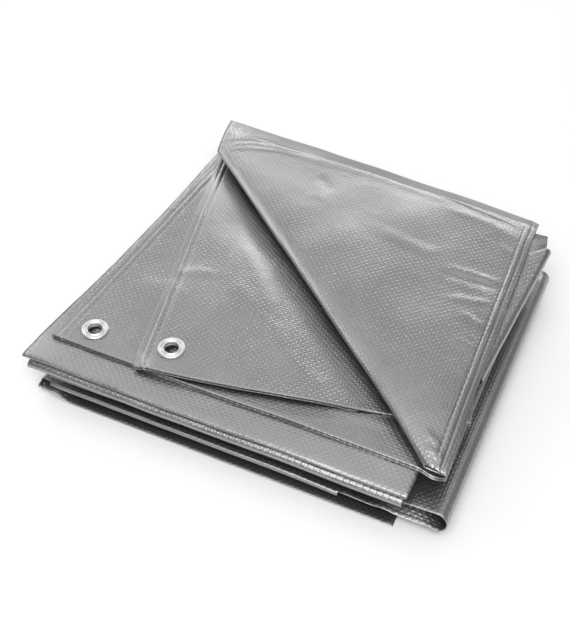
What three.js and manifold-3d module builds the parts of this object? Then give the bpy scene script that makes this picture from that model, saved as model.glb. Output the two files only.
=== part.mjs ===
// A folded tarp: a packet of plies, two flaps with an eyelet each, and a corner folded over along a diagonal.
// Millimetres, +Z up. Sizes are given from the packet's front left corner, X to the right and Y to the back.
// The finished group is moved so that the middle of its underside is the origin.
import * as THREE from "three";
import Module from "manifold-3d";

// Cloth
const PLY = 1.2;
const HEM_THICK = 2.0;
const HEM_WIDTH = 42;
const SEAM_GAP = 0.3;
const CLOTH_COLOUR = 0x9a9c9e;

// Packet: the left side leans in towards the back, the right side stays straight
const PACKET_LENGTH = 387;
const PACKET_DEPTH = 315;
const LEFT_LEAN = 27;
const LEAN_POWER = 1.6;

// Unevenness of the stack, none where it rests
const WAVE = { height: 0.7, lengthX: 190, lengthY: 260, from: 4, full: 24 };

// Eyelets
const EYELET = { hole: 6.3, barrel: 7.2, rim: 12, back: 11.2, rise: 1.3, tuck: 0.9, segments: 36 };
const BORE_LENGTH = 12;
const EYELET_COLOUR = 0xdcdddc;
const LEFT_EYELET = { x: 46.1, y: 46.3 };
const RIGHT_EYELET = { x: 120.6, y: 50 };

// Steps along each direction
const TURN_STEPS = 6;
const WIDE_TURN_STEPS = 8;
const BOTTOM_STEPS = 5;
const SECOND_STEPS = 8;
const UNDERSIDE_STEPS = 4;
const FLAP_COLUMNS = 9;
const ACROSS = 10;
const DEEP = 6;
const LOWER_HEM_STEPS = { across: 20, deep: 4 };
const UPPER_HEM_STEPS = { across: 16, deep: 3 };

const v3 = (x, y, z) => new THREE.Vector3(x, y, z);
const mix = THREE.MathUtils.lerp;
const steps = (count) => Array.from({ length: count + 1 }, (_, i) => i / count);

// A sheet gathers patches of quads, then gets its thickness on both sides of its middle surface.
class Sheet {
  points = [];
  quads = [];
  found = new Map();

  vertex(p) {
    const key = p.toArray().map((n) => Math.round(n * 1000)).join(" ");
    if (!this.found.has(key)) {
      this.found.set(key, this.points.length);
      this.points.push(wavy(p));
    }
    return this.found.get(key);
  }

  patch(rows, turned = false) {
    const ids = rows.map((row) => row.map((p) => this.vertex(p)));
    for (let r = 0; r + 1 < ids.length; r++) {
      for (let c = 0; c + 1 < ids[r].length; c++) {
        const quad = [ids[r][c], ids[r][c + 1], ids[r + 1][c + 1], ids[r + 1][c]];
        this.quads.push(turned ? quad.reverse() : quad);
      }
    }
  }

  solid(thickness) {
    const normals = this.points.map(() => v3(0, 0, 0));
    const edges = new Map();
    for (const quad of this.quads) {
      const [a, b, c, d] = quad.map((i) => this.points[i]);
      const normal = c.clone().sub(a).cross(d.clone().sub(b)).normalize();
      quad.forEach((from, k) => {
        normals[from].add(normal);
        edges.set(`${from} ${quad[(k + 1) % 4]}`, [from, quad[(k + 1) % 4]]);
      });
    }
    if (edges.size !== this.quads.length * 4) throw new Error("two patches face opposite ways");
    const count = this.points.length;
    const upper = this.points.map((p, i) => p.clone().addScaledVector(normals[i].normalize(), thickness / 2));
    const lower = this.points.map((p, i) => p.clone().addScaledVector(normals[i], -thickness / 2));
    const index = [];
    for (const [a, b, c, d] of this.quads) {
      index.push(a, b, c, a, c, d);
      index.push(count + a, count + c, count + b, count + a, count + d, count + c);
    }
    for (const [from, to] of edges.values()) {
      if (edges.has(`${to} ${from}`)) continue;
      index.push(count + from, count + to, to, count + from, to, from);
    }
    const geometry = new THREE.BufferGeometry().setFromPoints([...upper, ...lower]);
    geometry.setIndex(index);
    return geometry;
  }
}

function wavy(p) {
  const share = THREE.MathUtils.smoothstep(p.z, WAVE.from, WAVE.full);
  const swell = Math.sin((2 * Math.PI * p.x) / WAVE.lengthX) * Math.cos((2 * Math.PI * p.y) / WAVE.lengthY);
  return v3(p.x, p.y, p.z + WAVE.height * share * swell);
}

function lean(x, y) {
  const inward = 1 - (1 - THREE.MathUtils.clamp(y / PACKET_DEPTH, 0, 1)) ** LEAN_POWER;
  return x + LEFT_LEAN * inward * (1 - x / PACKET_LENGTH);
}

// Points of a half turn between two heights, without its two ends: [run out of the fold, height, share].
function halfTurn(fromZ, toZ, count = TURN_STEPS) {
  const radius = (toZ - fromZ) / 2;
  return steps(count).slice(1, -1).map((t) => {
    const angle = Math.PI * t;
    return [Math.abs(radius) * Math.sin(angle), fromZ + radius * (1 - Math.cos(angle)), t];
  });
}

// Lower part of the packet: plies that turn at their left and right ends.
const BOTTOM_PLY = { right: 346, left: 40, z: PLY / 2, front: -4.5, back: 296 };
const LEFT_LOOP = { x: 17, low: 7.5, high: 14.3 };
const LOOP_RISE = [{ x: 36, z: 3 }, { x: 32, z: 6.4 }, { x: 25, z: 7.4 }];
const SECOND_PLY = { left: 24, right: 379, z: 12.8, zRight: 7.6, fallFrom: 0.6, front: 1.5, back: 304 };
const THIRD_PLY = {
  left: 24,
  right: 350,
  end: 379,
  z: 20.8,
  zRight: 22.4,
  zEnd: 23.4,
  front: 1,
  frontEnd: 6,
  back: 306,
};
const ROLLED_HEM = { right: 300, drop: 4, width: 24 };

// Upper part of the packet: plies that turn at their front and back.
const PLIES = [
  { name: "middle fold, lower ply", left: 5, right: 350, front: 2.4, back: 306, z: 24.6 },
  { name: "middle fold, upper ply", left: 5, right: 350, front: 2.4, back: 306, z: 33.2 },
  { name: "upper fold, lower ply", left: 0, right: 353, front: 2.4, back: 306, z: 35.9 },
  { name: "upper fold, upper ply", left: 0, right: 353, front: 2.4, back: 318, z: 40.4 },
];

function lowerStations() {
  const { right, left, z } = BOTTOM_PLY;
  const bottom = steps(BOTTOM_STEPS).map((t) => ({ ply: BOTTOM_PLY, x: mix(right, left, t), z }));
  const rise = LOOP_RISE.map((point) => ({ ply: BOTTOM_PLY, ...point }));
  const { low, high } = LEFT_LOOP;
  const loop = [[0, low, 0], ...halfTurn(low, high), [0, high, 1]].map(([run, height, t]) => {
    return { ply: t < 0.5 ? BOTTOM_PLY : SECOND_PLY, x: LEFT_LOOP.x - run, z: height };
  });
  const second = steps(SECOND_STEPS).map((t) => ({
    ply: SECOND_PLY,
    x: mix(SECOND_PLY.left, SECOND_PLY.right, t),
    z: mix(SECOND_PLY.z, SECOND_PLY.zRight, THREE.MathUtils.smoothstep(t, SECOND_PLY.fallFrom, 1)),
  }));
  const wrap = halfTurn(SECOND_PLY.zRight, THIRD_PLY.zEnd, WIDE_TURN_STEPS).map(([run, height, t]) => ({
    ply: {
      front: mix(SECOND_PLY.front, THIRD_PLY.frontEnd, t),
      back: mix(SECOND_PLY.back, THIRD_PLY.back, t),
    },
    x: SECOND_PLY.right + run,
    z: height,
  }));
  const endPly = { front: THIRD_PLY.frontEnd, back: THIRD_PLY.back };
  const end = { ply: endPly, x: THIRD_PLY.end, z: THIRD_PLY.zEnd };
  const third = steps(ACROSS).map((t) => ({
    ply: { front: mix(THIRD_PLY.frontEnd, THIRD_PLY.front, t), back: THIRD_PLY.back },
    x: mix(THIRD_PLY.right, THIRD_PLY.left, t),
    z: mix(THIRD_PLY.zRight, THIRD_PLY.z, t),
  }));
  return [...bottom, ...rise, ...loop, ...second, ...wrap, end, ...third];
}

const across = ({ ply, x, z }) =>
  steps(DEEP).map((t) => {
    const y = mix(ply.front, ply.back, t);
    return v3(lean(x, y), y, z);
  });

// The second ply's front edge is rolled under into a narrow hem.
function rolledHem(station) {
  const { ply, x, z } = station;
  const under = z - ROLLED_HEM.drop;
  const roll = [[0, z, 0], ...halfTurn(z, under), [0, under, 1], [-ROLLED_HEM.width, under, 1]];
  return roll.map(([run, height]) => v3(lean(x, ply.front - run), ply.front - run, height));
}

const plyX = (ply, u) => mix(ply.left, ply.right, u);

// One section through the middle and upper folds at a share u of the way across, from the third ply's
// back edge to the top layer's back edge.
function foldSection(u) {
  const third = { ...THIRD_PLY, z: mix(THIRD_PLY.z, THIRD_PLY.zRight, u) };
  const plies = [third, ...PLIES];
  const path = [];
  const add = (from, to, t, y, z) => path.push(v3(lean(mix(plyX(from, u), plyX(to, u), t), y), y, z));
  plies.forEach((ply, k) => {
    const forward = k % 2 === 1;
    const [start, stop] = forward ? [ply.back, ply.front] : [ply.front, ply.back];
    if (k === 0) add(ply, ply, 0, stop, ply.z);
    else steps(DEEP).forEach((t) => add(ply, ply, 0, mix(start, stop, t), ply.z));
    const next = plies[k + 1];
    if (!next) return;
    const outward = forward ? -1 : 1;
    halfTurn(ply.z, next.z).forEach(([run, height, t]) => add(ply, next, t, stop + outward * run, height));
  });
  const last = plies[plies.length - 1];
  const top = topBack(u);
  const lastX = lean(plyX(last, u), last.back);
  halfTurn(last.z, top.z, WIDE_TURN_STEPS).forEach(([run, height, t]) => {
    path.push(v3(mix(lastX, top.x, t), mix(last.back, top.y, t) + run, height));
  });
  path.push(top);
  return path;
}

// Top layer: its underside lies on the flaps and turns over along the diagonal into the folded-over corner.
const DIAGONAL = { from: { x: 36, y: 302 }, to: { x: 357, y: 25 } };
const DIAGONAL_TURN = { ends: 2.6, middle: 6.0, power: 0.6 };
const TOP_BACK = { left: 31, right: 352, y: 318, z: 56 };
const TOP_CORNER = { x: 367, y: 318 };
const TOP_SIDE = { backX: 368.5, frontX: 372.5, back: 302, front: 126, z: 56 };
const TIP = [
  { x: 373.5, y: 92, z: 55.2, edge: 57.6 },
  { x: 374.5, y: 56, z: 53, edge: 55.8 },
  { x: 375.5, y: 24, z: 49.8, edge: 53 },
];
const TURNED_CORNER = {
  backLeft: { x: 24.9, y: 354.4, z: 60 },
  backRight: { x: 363, y: 334.5, z: 59 },
  tip: { x: 375.3, y: 22 },
};
// A bend runs along the back edge and along the right hem of the folded-over corner.
const BEND = { left: 34, right: 12, power: 0.6, side: 12, backZ: 64.5, sideRise: 1.6 };
const DROOP = 1.8;
const SIDE_ROWS = 5;
const CORNER_ROW = ACROSS + 1;
const FIRST_SIDE_ROW = ACROSS + 2;
const LAST_SIDE_ROW = FIRST_SIDE_ROW + SIDE_ROWS;
const LAST_ROW = LAST_SIDE_ROW + TIP.length;

const topBack = (u) => v3(mix(TOP_BACK.left, TOP_BACK.right, u), TOP_BACK.y, TOP_BACK.z);

function undersideEdge(row) {
  if (row <= ACROSS) return topBack(row / ACROSS);
  if (row === CORNER_ROW) return v3(TOP_CORNER.x, TOP_CORNER.y, TOP_BACK.z);
  if (row > LAST_SIDE_ROW) {
    const { x, y, z } = TIP[row - LAST_SIDE_ROW - 1];
    return v3(x, y, z);
  }
  const t = (row - FIRST_SIDE_ROW) / SIDE_ROWS;
  return v3(mix(TOP_SIDE.backX, TOP_SIDE.frontX, t), mix(TOP_SIDE.back, TOP_SIDE.front, t), TOP_SIDE.z);
}

function cornerEdge(row) {
  const { backLeft, backRight, tip } = TURNED_CORNER;
  if (row <= CORNER_ROW) {
    const t = row / CORNER_ROW;
    return v3(backLeft.x, backLeft.y, backLeft.z).lerp(v3(backRight.x, backRight.y, backRight.z), t);
  }
  const t = (row - CORNER_ROW) / (LAST_ROW - CORNER_ROW);
  const z = row > LAST_SIDE_ROW ? TIP[row - LAST_SIDE_ROW - 1].edge : backRight.z;
  return v3(mix(backRight.x, tip.x, t), mix(backRight.y, tip.y, t), z);
}

function cornerBend(row, over, axis) {
  const inward = axis.clone().sub(over).setZ(0).normalize();
  if (row > CORNER_ROW) {
    const side = over.clone().addScaledVector(inward, BEND.side / Math.abs(inward.x));
    return side.setZ(over.z + BEND.sideRise);
  }
  const inset = mix(BEND.left, BEND.right, (row / CORNER_ROW) ** BEND.power);
  const back = over.clone().addScaledVector(inward, inset / Math.abs(inward.y));
  return back.setZ(BEND.backZ);
}

function topSection(row) {
  const f = row / LAST_ROW;
  const radius = mix(DIAGONAL_TURN.ends, DIAGONAL_TURN.middle, Math.sin(Math.PI * f) ** DIAGONAL_TURN.power);
  const fold = v3(mix(DIAGONAL.from.x, DIAGONAL.to.x, f), mix(DIAGONAL.from.y, DIAGONAL.to.y, f), 0);
  const over = cornerEdge(row);
  const under = undersideEdge(row);
  const away = over.clone().setZ(0).sub(fold).normalize();
  away.add(under.clone().setZ(0).sub(fold).normalize()).normalize();
  const axis = fold.clone().addScaledVector(away, radius);
  const low = under.z;
  const high = low + 2 * radius;
  const bend = cornerBend(row, over, axis);
  const slope = (s) => mix(high, bend.z, (1 - s) ** DROOP);
  const flat = steps(DEEP).map((s) => v3(mix(bend.x, axis.x, s), mix(bend.y, axis.y, s), slope(s)));
  const upper = [over, ...flat];
  const turn = halfTurn(high, low, WIDE_TURN_STEPS).map(([run, height]) => {
    return axis.clone().addScaledVector(away, -run).setZ(height);
  });
  const lower = steps(UNDERSIDE_STEPS).map((t) => v3(mix(axis.x, under.x, t), mix(axis.y, under.y, t), low));
  return [...upper, ...turn, ...lower];
}

// Flaps: the upper one turns under from the top layer's right side, the lower one from the upper one's back.
const UPPER_FLAP = {
  corner: { x: 99.4, y: 21.3 },
  side: { x: -0.217, y: 0.976 },
  slope: 0.118,
  bow: 0.00038,
  z: 51.2,
  swell: { height: 1.4, from: 40, length: 330 },
  backLeft: { x: 34.7, y: 312 },
  hemRight: 370,
};
const LOWER_FLAP = { left: 15.1, leftBack: 35, right: 380, front: 25.3, z: 46, back: 304 };
const DIP = { depth: 5, x: 366, width: 9, inward: 14 };

function upperFlapZ(x) {
  const { height, from, length } = UPPER_FLAP.swell;
  return UPPER_FLAP.z + height * Math.sin(Math.PI * THREE.MathUtils.clamp((x - from) / length, 0, 1));
}

// The lower flap's front edge sags where it runs out past the packet's upper fold.
function lowerFlapZ(x, y) {
  const reach = ((x - DIP.x) / DIP.width) ** 2 + ((y - LOWER_FLAP.front) / DIP.inward) ** 2;
  return LOWER_FLAP.z - DIP.depth * Math.exp(-reach);
}

// A point of the upper flap: x along its bowed front edge, and the way in from that edge.
function upperFlap(x, inward) {
  const { corner, side, slope, bow } = UPPER_FLAP;
  const run = x - corner.x;
  const px = x + side.x * inward;
  return v3(px, corner.y + slope * run + bow * run * run + side.y * inward, upperFlapZ(px));
}

function lowerFlap(u, y) {
  const t = (y - LOWER_FLAP.front) / (LOWER_FLAP.back - LOWER_FLAP.front);
  const x = mix(mix(LOWER_FLAP.left, LOWER_FLAP.leftBack, t), LOWER_FLAP.right, u);
  return v3(x, y, lowerFlapZ(x, y));
}

function upperFlapRow(row) {
  const t = (row - FIRST_SIDE_ROW) / SIDE_ROWS;
  const { backLeft, side, corner } = UPPER_FLAP;
  const inward = HEM_WIDTH + SEAM_GAP;
  const frontRight = TOP_SIDE.frontX - side.x * inward;
  return steps(FLAP_COLUMNS).map((c) => {
    const front = upperFlap(mix(frontRight, corner.x, c), inward);
    const back = v3(mix(TOP_SIDE.backX, backLeft.x, c), mix(TOP_SIDE.back, backLeft.y, c), 0);
    const x = mix(back.x, front.x, t);
    return v3(x, mix(back.y, front.y, t), upperFlapZ(x));
  });
}

function flapRow(row) {
  const edge = undersideEdge(row);
  const flap = upperFlapRow(row);
  const start = flap[0];
  const turn = halfTurn(edge.z, start.z).map(([run, height, t]) => {
    return v3(mix(edge.x, start.x, t) + run, mix(edge.y, start.y, t), height);
  });
  return [edge, ...turn, ...flap];
}

function lowerFlapColumn(start, c) {
  const hemLine = LOWER_FLAP.front + HEM_WIDTH + SEAM_GAP;
  const depth = steps(DEEP).map((t) => lowerFlap(1 - c, mix(start.y, hemLine, t)));
  const turn = halfTurn(start.z, depth[0].z).map(([run, height, t]) => {
    return v3(mix(start.x, depth[0].x, t), mix(start.y, depth[0].y, t) + run, height);
  });
  return [start, ...turn, ...depth];
}

function clothSheet() {
  const sheet = new Sheet();
  const stations = lowerStations();
  sheet.patch(stations.map(across));
  const { left } = SECOND_PLY;
  const hemmed = stations.filter(({ ply, x }) => ply === SECOND_PLY && x >= left && x <= ROLLED_HEM.right);
  sheet.patch(hemmed.map(rolledHem), true);
  sheet.patch(steps(ACROSS).map(foldSection), true);
  const rows = Array.from({ length: LAST_ROW + 1 }, (_, row) => row);
  sheet.patch(rows.map(topSection));
  const sideRows = rows.slice(FIRST_SIDE_ROW, LAST_SIDE_ROW + 1);
  sheet.patch(sideRows.map(flapRow));
  const backEdge = upperFlapRow(FIRST_SIDE_ROW);
  sheet.patch(backEdge.map((start, i) => lowerFlapColumn(start, i / FLAP_COLUMNS)));
  return sheet;
}

const wasm = await Module();
wasm.setup();

function toManifold(geometry) {
  const vertProperties = new Float32Array(geometry.getAttribute("position").array);
  const triVerts = new Uint32Array(geometry.getIndex().array);
  const mesh = new wasm.Mesh({ numProp: 3, vertProperties, triVerts });
  mesh.merge();
  return new wasm.Manifold(mesh);
}

function fromManifold(solid) {
  const mesh = solid.getMesh();
  const geometry = new THREE.BufferGeometry();
  geometry.setAttribute("position", new THREE.BufferAttribute(new Float32Array(mesh.vertProperties), 3));
  geometry.setIndex(new THREE.BufferAttribute(new Uint32Array(mesh.triVerts), 1));
  return geometry;
}

// The place and tilt of an eyelet on a flap's surface.
function seat(surface, spot) {
  const here = surface(spot.x, spot.y);
  const dx = surface(spot.x + 1, spot.y).sub(here);
  const dy = surface(spot.x, spot.y + 1).sub(here);
  const tilt = new THREE.Quaternion().setFromUnitVectors(v3(0, 0, 1), dx.cross(dy).normalize());
  return new THREE.Matrix4().compose(here, tilt, v3(1, 1, 1));
}

function hemStrip(rows, place) {
  const sheet = new Sheet();
  sheet.patch(rows);
  const radius = EYELET.barrel + SEAM_GAP;
  const bore = new THREE.CylinderGeometry(radius, radius, BORE_LENGTH, EYELET.segments);
  bore.rotateX(Math.PI / 2).applyMatrix4(place);
  return fromManifold(toManifold(sheet.solid(HEM_THICK)).subtract(toManifold(bore)));
}

// Each point is its share of the way out from the hole and its share of the height.
const UNDERSIDE_PROFILE = [[0, 0.6], [0.3, 1], [1, 0.5]];
const FACE_PROFILE = [[1, 0.2], [0.86, 0.55], [0.55, 0.9], [0.21, 1], [0.07, 0.85], [0, 0.5]];

function eyelet(place) {
  const { hole, barrel, rim, back, rise, tuck } = EYELET;
  const seatZ = HEM_THICK / 2 + SEAM_GAP;
  const underside = ([out, share]) => [mix(hole, back, out), -seatZ - tuck * share];
  const face = ([out, share]) => [mix(hole, rim, out), seatZ + rise * share];
  const profile = [
    ...UNDERSIDE_PROFILE.map(underside),
    [back, -seatZ],
    [barrel, -seatZ],
    [barrel, seatZ],
    [rim, seatZ],
    ...FACE_PROFILE.map(face),
    underside(UNDERSIDE_PROFILE[0]),
  ].map(([r, z]) => new THREE.Vector2(r, z));
  const ring = new THREE.LatheGeometry(profile, EYELET.segments);
  ring.rotateX(Math.PI / 2).applyMatrix4(place);
  return ring;
}

const onLowerFlap = (x, y) => wavy(v3(x, y, lowerFlapZ(x, y)));
const onUpperFlap = (x, y) => wavy(v3(x, y, upperFlapZ(x)));

const lowerHemRows = steps(LOWER_HEM_STEPS.across).map((u) => {
  return steps(LOWER_HEM_STEPS.deep).map((t) => lowerFlap(u, LOWER_FLAP.front + HEM_WIDTH * t));
});
const upperHemRows = steps(UPPER_HEM_STEPS.across).map((u) => {
  const x = mix(UPPER_FLAP.corner.x, UPPER_FLAP.hemRight, u);
  return steps(UPPER_HEM_STEPS.deep).map((t) => upperFlap(x, HEM_WIDTH * t));
});
const leftSeat = seat(onLowerFlap, LEFT_EYELET);
const rightSeat = seat(onUpperFlap, RIGHT_EYELET);

const clothLook = { color: CLOTH_COLOUR, roughness: 0.55, metalness: 0 };
const eyeletLook = { color: EYELET_COLOUR, roughness: 0.3, metalness: 0.9 };
const PIECES = [
  ["tarp_cloth", clothSheet().solid(PLY), clothLook],
  ["lower_flap_hem", hemStrip(lowerHemRows, leftSeat), clothLook],
  ["upper_flap_hem", hemStrip(upperHemRows, rightSeat), clothLook],
  ["left_eyelet", eyelet(leftSeat), eyeletLook],
  ["right_eyelet", eyelet(rightSeat), eyeletLook],
];

const tarp = new THREE.Group();
tarp.name = "folded_tarp";
for (const [name, geometry, look] of PIECES) {
  const mesh = new THREE.Mesh(geometry, new THREE.MeshStandardMaterial(look));
  mesh.name = name;
  tarp.add(mesh);
}

const box = new THREE.Box3().setFromObject(tarp);
const middle = box.getCenter(v3(0, 0, 0));
for (const mesh of tarp.children) mesh.geometry.translate(-middle.x, -middle.y, -box.min.z);

export default tarp;
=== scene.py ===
"""A folded silver-grey tarp: the woven sheet with its folds, hems, stitches and eyelets, on a pale floor."""

import math

import bmesh
import bpy
from bpy.props import FloatProperty, FloatVectorProperty, PointerProperty
from mathutils import Matrix, Vector, noise


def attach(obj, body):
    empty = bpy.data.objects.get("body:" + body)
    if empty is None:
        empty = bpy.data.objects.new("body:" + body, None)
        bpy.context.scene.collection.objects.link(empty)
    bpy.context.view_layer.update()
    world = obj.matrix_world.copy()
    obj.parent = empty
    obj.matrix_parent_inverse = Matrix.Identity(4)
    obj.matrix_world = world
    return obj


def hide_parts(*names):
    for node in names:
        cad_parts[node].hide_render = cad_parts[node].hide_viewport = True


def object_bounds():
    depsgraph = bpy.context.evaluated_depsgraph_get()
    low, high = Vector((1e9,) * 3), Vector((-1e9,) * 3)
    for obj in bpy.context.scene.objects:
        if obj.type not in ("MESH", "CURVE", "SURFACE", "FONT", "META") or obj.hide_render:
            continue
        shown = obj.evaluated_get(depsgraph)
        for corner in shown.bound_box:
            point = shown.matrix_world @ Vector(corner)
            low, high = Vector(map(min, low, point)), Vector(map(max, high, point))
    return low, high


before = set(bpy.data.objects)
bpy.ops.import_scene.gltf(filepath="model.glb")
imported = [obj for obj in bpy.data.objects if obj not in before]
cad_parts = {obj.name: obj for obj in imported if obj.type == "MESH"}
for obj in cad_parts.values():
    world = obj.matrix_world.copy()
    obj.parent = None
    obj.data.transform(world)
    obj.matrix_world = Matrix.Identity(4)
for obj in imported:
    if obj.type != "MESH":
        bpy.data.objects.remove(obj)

bl_info = {
    "name": "Folded tarp",
    "version": (1, 0, 0),
    "blender": (4, 5, 0),
    "location": "View3D > Sidebar > Tarp",
    "description": "Builds a folded tarp with eyelets on its packed frame",
    "category": "Object",
}

CAD_LOW, CAD_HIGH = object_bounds()

# Places are in metres from the packet's front left corner, X to the right, Y to the back and Z up.
# The bottom ply reaches a little way in front of that corner.
BOTTOM_FRONT = -0.0045
CORNER = Vector((CAD_LOW.x, CAD_LOW.y - BOTTOM_FRONT, CAD_LOW.z))

# Packet: the left side leans in towards the back, the right side stays straight.
PACKET_LENGTH = 0.387
PACKET_DEPTH = 0.315
LEFT_LEAN = 0.027
LEAN_POWER = 1.6

# Unevenness of the stack, none where it rests.
WAVE = {"height": 0.0007, "length_x": 0.19, "length_y": 0.26, "start": 0.004, "full": 0.024}
RUMPLE = {"height": 0.0008, "per_metre": 22.0}

# Lower part of the packet: plies that turn at their left and right ends.
BOTTOM_PLY = {"right": 0.346, "left": 0.040, "z": 0.0006, "front": BOTTOM_FRONT, "back": 0.296}
LEFT_LOOP = {"x": 0.017, "low": 0.0075, "high": 0.0143}
LOOP_RISE = ((0.036, 0.0030), (0.032, 0.0064), (0.025, 0.0074))
SECOND_PLY = {"left": 0.024, "right": 0.379, "z": 0.0128, "z_right": 0.0076, "front": 0.0015, "back": 0.304}
THIRD_PLY = {"left": 0.024, "right": 0.350, "end": 0.379, "z": 0.0208, "z_right": 0.0224, "z_end": 0.0234,
             "front": 0.001, "front_end": 0.006, "back": 0.306}
ROLLED_HEM = {"right": 0.300, "drop": 0.004, "width": 0.024}
# The second ply is crumpled where it shows inside the right wrap.
CRUMPLE = {"left": 0.318, "left_full": 0.338, "right_full": 0.370, "depth": 0.06, "height": 0.0020,
           "per_metre": 75.0, "stretch": 0.6, "seed": 0.3, "mean": 0.4, "rise": 0.0050, "rise_depth": 0.020}

# Upper part of the packet: plies that turn at their front and back. Nose is how far a front turn reaches out.
PLY_COLUMNS = ("left", "right", "front", "back", "z", "nose")
PLIES = [dict(zip(PLY_COLUMNS, row)) for row in (
    (0.005, 0.350, 0.0040, 0.306, 0.0246, 0.0060),
    (0.005, 0.350, 0.0040, 0.306, 0.0332, 0.0000),
    (0.000, 0.353, 0.0080, 0.306, 0.0359, 0.0080),
    (0.000, 0.353, 0.0080, 0.318, 0.0404, 0.0000),
)]
UPPER_FOLD_SWELL = {"height": 0.0020, "start": 0.004, "depth": 0.032}

# Top layer: its underside lies on the flaps and turns over along the diagonal into the folded-over corner.
DIAGONAL = (Vector((0.036, 0.302, 0)), Vector((0.357, 0.025, 0)))
DIAGONAL_TURN = {"ends": 0.0026, "middle": 0.0060, "power": 0.6}
TOP_BACK = {"left": 0.031, "right": 0.352, "y": 0.318, "z": 0.056}
TOP_CORNER = (0.3755, 0.318)
TOP_SIDE = {"back_x": 0.3785, "front_x": 0.3680, "back": 0.302, "front": 0.126, "z": 0.056}
TIP_COLUMNS = ("x", "y", "z", "edge")
TIP = [dict(zip(TIP_COLUMNS, row)) for row in (
    (0.3680, 0.126, 0.0560, 0.0590),
    (0.3735, 0.092, 0.0552, 0.0576),
    (0.3745, 0.056, 0.0530, 0.0558),
    (0.3755, 0.024, 0.0498, 0.0530),
)]
OVER_BACK_LEFT = Vector((0.0249, 0.3544, 0.060))
OVER_BACK_RIGHT = Vector((0.363, 0.3345, 0.059))
OVER_TIP = (0.3753, 0.022)
DROOP = 1.8
# Rows over which the height of the back edge passes into that of the side,
# and the share of the way to the turn from which creases fade out.
EDGE_ROWS = (8.0, 13.0)
TURN_HOLD = 0.93
# The upper side of the diagonal turn rolls over softly: how far in it starts at its ends and in its middle,
# and the share of the turn's radius that it falls by.
ROLL = {"ends": 0.012, "middle": 0.046, "share": 0.42}
BACK_HEIGHT = 0.0645
SIDE_RISE = 0.0018
# The back of the folded-over corner curves down gently, then slopes to its edge. Each pair is left and right.
BACK_CURVE = {"reach": (0.034, 0.046), "drop": (0.0012, 0.0034), "power": 2.0}
BACK_SLOPE = {"reach": (0.024, 0.014), "drop": (0.0036, 0.0036), "power": 1.2}
SIDE_CURVE = {"reach": 0.014, "drop": 0.0018, "power": 1.5}

# Rows along the diagonal: the back edge, the corner, the right side and the tip.
BACK_ROWS, CORNER_ROW, SIDE_ROW, TIP_ROW, LAST_ROW = 10, 11, 12, 17, 20

# Flaps: the upper one turns under from the top layer's right side, the lower one from the upper one's back.
UPPER_FLAP = {"corner": (0.0994, 0.0213), "side": (-0.217, 0.976), "slope": 0.118, "bow": 0.38,
              "z": 0.0512, "swell": 0.0014, "back_left": (0.0347, 0.312), "width": 0.30}
UPPER_SWELL = (0.040, 0.370)
UPPER_TROUGH = {"drop": 0.0044, "reach": 0.055}
CORNER_DROOP = {"drop": 0.0036, "width": 0.008, "start": 0.036, "full": 0.022}
LOWER_FLAP = {"left": 0.0151, "left_back": 0.035, "right": 0.3755, "right_back": 0.3735,
              "front": 0.0253, "back": 0.304, "z": 0.046}
# How far the underside of a wide hem hangs below its top at the front edge,
# and the share of the hem's width where it hangs that far.
UNDER_PLY_DROP = 0.0027
UNDER_PLY_FULL = 0.7
# Ways in from a flap's turn over which its creases grow.
UPPER_CREASE_START = 0.02
LOWER_CREASE_START = 0.01
# The lower flap dips at its front, below the tip.
DIP = {"depth": 0.005, "x": 0.366, "width": 0.009, "inward": 0.014}

# Eyelets: where they sit, and the section of the metal as radius and height above the cloth.
EYELETS = (("left_eyelet", (0.0461, 0.0463)), ("right_eyelet", (0.1206, 0.0500)))
EYELET_SECTION = (
    (0.0120, 0.0000), (0.0121, 0.0005), (0.0117, 0.0011), (0.0109, 0.0015), (0.0099, 0.0016),
    (0.0091, 0.0013), (0.0087, 0.0007), (0.0083, 0.0007), (0.0079, 0.0013), (0.0073, 0.0017),
    (0.0067, 0.0015), (0.0063, 0.0009), (0.0062, 0.0000), (0.0062, -0.0026), (0.0066, -0.0030),
    (0.0100, -0.0027), (0.0108, -0.0022), (0.0108, -0.0016), (0.0072, -0.0016), (0.0072, -0.0002),
)
EYELET_STEPS = 96
EYELET_SEAT = 0.004

# Narrow hems: where the grooves of their two rows of stitches run, as shares of the width,
# then the rise, the soft inner edge and the grooves.
HEM_ROWS = (0.52, 1.02)
HEM_RISE = 0.0004
HEM_EDGE = 0.0008
HEM_GROOVE = {"depth": 0.0005, "width": 0.0009}

# Stitches start and stop a little inside the hems' ends.
SIDE_STITCHES = (CORNER_ROW + 0.6, LAST_ROW - 0.15)
UPPER_STITCHES = (0.004, 0.20)
LOWER_STITCHES = (LOWER_FLAP["front"] + 0.003, 0.25)

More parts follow.
